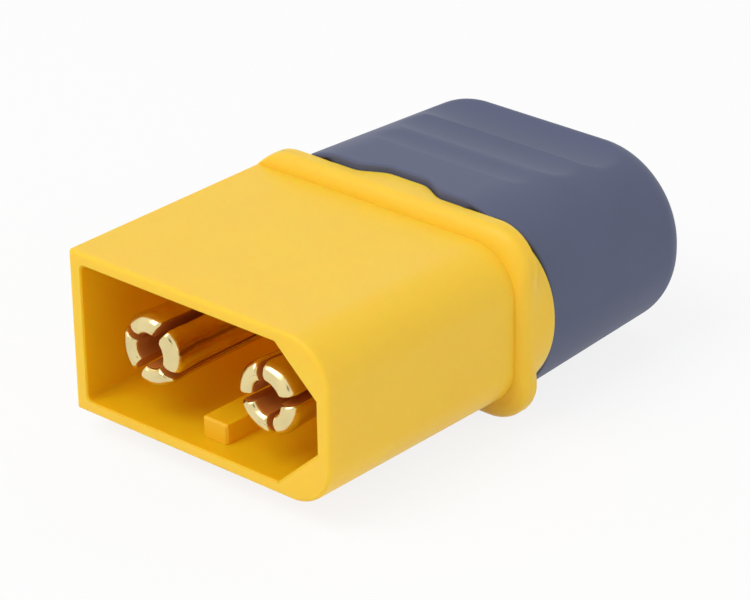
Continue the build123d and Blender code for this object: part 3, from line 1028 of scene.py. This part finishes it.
# %% Which faces of a contact take the painted reflection
def in_cuts(contact, turn, x):
    """A number for each face: 1 on a saw cut's walls and in the drilled centre, 0 elsewhere.

    The faces marked 1 take the painted reflection of the orange cavity. The middle of each face is turned
    back by the pin's own turn. On a cut's wall the smaller of its two distances from the axis planes is
    half the cut's width, and in the centre its radius is small.
    """
    across, y, up = face_middles(contact)
    across = across - x
    first, second = across * cos(turn) + up * sin(turn), up * cos(turn) - across * sin(turn)
    on_wall = np.minimum(abs(first), abs(second)) < SLOT / 2 + HAIR
    in_centre = np.hypot(first, second) < HOLLOW_RADIUS + 2 * HAIR
    return ((on_wall | in_centre) & (y < HOLLOW_END + 2 * CLOSE)).astype(np.int32)


for contact, (name, x) in zip(contacts, CONTACTS):
    contact.data.materials.append(plate)
    contact.data.materials.append(painted_reflection_plate)
    painted_reflection_faces = in_cuts(contact, radians(TURNS[name]), x)
    contact.data.polygons.foreach_set("material_index", painted_reflection_faces)
    print(contact.name, "faces in the cuts:", painted_reflection_faces.sum())

# %% [markdown]
# ## Floor and world
#
# The photo is a cut-out on pure white, lit from all round as in a light tent. A white world and a white
# floor do most of that. The floor is shown white by Is Camera Ray, mixed so that it keeps the plug's
# soft shadow. Mirrored in the gold, a pure white world would look flat, so it has one dark round place
# where the tent has its opening for the lens.

# %% Floor
FLOOR_Z = min(cad_low[2], cover_low[2] * MM) - 0.02 * MM
FLOOR_SIZE = 3.0
FLOOR_PAPER = (0.93, 0.93, 0.93, 1)
SHOWN_WHITE = 0.84                  # share of pure white in what the camera sees of the floor


def make_floor():
    """A wide white floor just under the lowest point of the cover."""
    bpy.ops.mesh.primitive_plane_add(size=FLOOR_SIZE, location=(0, 0.012, FLOOR_Z))
    floor = bpy.context.object
    floor.name = "floor"
    material, tree, shader = new_material("floor_white")
    tree.nodes.remove(shader)
    paper = node(tree, "ShaderNodeBsdfDiffuse", Color=FLOOR_PAPER)
    white = node(tree, "ShaderNodeEmission", Color=(1, 1, 1, 1), Strength=1.0)
    path = node(tree, "ShaderNodeLightPath").outputs
    direct = maths(tree, "MAXIMUM", path["Is Camera Ray"], path["Is Glossy Ray"])
    mix = node(tree, "ShaderNodeMixShader")
    tree.links.new(maths(tree, "MULTIPLY", direct, SHOWN_WHITE), mix.inputs["Fac"])
    tree.links.new(paper.outputs[0], mix.inputs[1])
    tree.links.new(white.outputs[0], mix.inputs[2])
    tree.links.new(mix.outputs[0], tree.nodes["Material Output"].inputs["Surface"])
    floor.data.materials.append(material)


make_floor()
print("floor at", round(FLOOR_Z / MM, 2), "mm")

# %% World
AZIMUTH = radians(42.112)           # of the photo's camera, round from the front
ELEVATION = radians(25.901)
WORLD_LIGHT = 0.57
OPENING = radians(10)               # from the middle of the dark place to its edge


def dark_opening(tree, towards, spread):
    """1 in the middle of a round place of the world, 0 outside it, by the cosine of the angle between."""
    facing = node(tree, "ShaderNodeVectorMath", operation="DOT_PRODUCT")
    tree.links.new(node(tree, "ShaderNodeTexCoord").outputs["Generated"], facing.inputs[0])
    facing.inputs[1].default_value = towards
    opening = node(tree, "ShaderNodeMapRange", interpolation_type="SMOOTHSTEP")
    opening.inputs["From Min"].default_value = cos(spread)
    opening.inputs["From Max"].default_value = cos(spread / 2)
    tree.links.new(facing.outputs["Value"], opening.inputs["Value"])
    return opening.outputs["Result"]


def light_world():
    """A white surrounding: full white where it is seen or mirrored, and softer as a light."""
    world = bpy.data.worlds.new("studio")
    bpy.context.scene.world = world
    world.use_nodes = True
    tree = world.node_tree
    sky = tree.nodes["Background"]
    sky.inputs["Color"].default_value = (1, 1, 1, 1)
    path = node(tree, "ShaderNodeLightPath").outputs
    seen = maths(tree, "MAXIMUM", path["Is Camera Ray"], path["Is Glossy Ray"])
    seen = maths(tree, "MAXIMUM", seen, path["Is Transmission Ray"])
    level = drifting_value(tree, seen, WORLD_LIGHT, 1.0)
    towards = (sin(AZIMUTH) * cos(ELEVATION), -cos(AZIMUTH) * cos(ELEVATION), sin(ELEVATION))
    dark = maths(tree, "MULTIPLY", dark_opening(tree, towards, OPENING), path["Is Glossy Ray"])
    kept = maths(tree, "SUBTRACT", 1.0, dark)
    tree.links.new(maths(tree, "MULTIPLY", level, kept), sky.inputs["Strength"])


light_world()
print("world lights with", WORLD_LIGHT)

# %% [markdown]
# ## Lamps and camera
#
# One large soft lamp high in front lights the top, the rim and the inside of the shroud alike, and a
# weaker one on the right leaves the narrow side a little darker. The camera was fitted to the photo: its
# direction, roll and aim are the ones that lay the shroud's corners on those in the picture.

# %% Lamps
LAMPS = (                           # name, place from the plug's middle and side in metres, power in watts
    ("softbox_front", (-0.07, -0.23, 0.33), 0.28, 0.85),
    ("softbox_right", (0.38, 0.05, 0.12), 0.25, 0.17),
)


def soft_lamp(name, place, size, power):
    """A square softbox that faces the middle of the plug."""
    lamp = bpy.data.lights.new(name, "AREA")
    lamp.size = size
    lamp.energy = power
    holder = bpy.data.objects.new(name, lamp)
    bpy.context.scene.collection.objects.link(holder)
    holder.location = (cad_low + cad_high) / 2 + Vector(place)
    holder.rotation_euler = (-Vector(place)).to_track_quat("-Z", "Y").to_euler()


for lamp in LAMPS:
    soft_lamp(*lamp)
print("lamps:", [name for name, *_ in LAMPS])

# %% Camera at the photograph's angle
ROLL = radians(-1.008)
AIM = Vector((1.481, 10.183, 0.591)) * MM
DISTANCE = 160.0 * MM
camera = bpy.data.objects.new("camera", bpy.data.cameras.new("camera"))
bpy.context.scene.collection.objects.link(camera)
camera.data.lens = 168
camera.data.sensor_width = 36
camera.data.clip_start = 0.01
turned = Matrix.Rotation(AZIMUTH, 4, "Z")
turned = turned @ Matrix.Rotation(pi / 2 - ELEVATION, 4, "X")
turned = turned @ Matrix.Rotation(ROLL, 4, "Z")
camera.matrix_world = Matrix.Translation(AIM) @ turned @ Matrix.Translation((0, 0, DISTANCE))
bpy.context.scene.camera = camera
bpy.context.scene.view_settings.view_transform = "Standard"
print("camera at", np.round(np.array(camera.matrix_world.translation) / MM, 2), "mm")
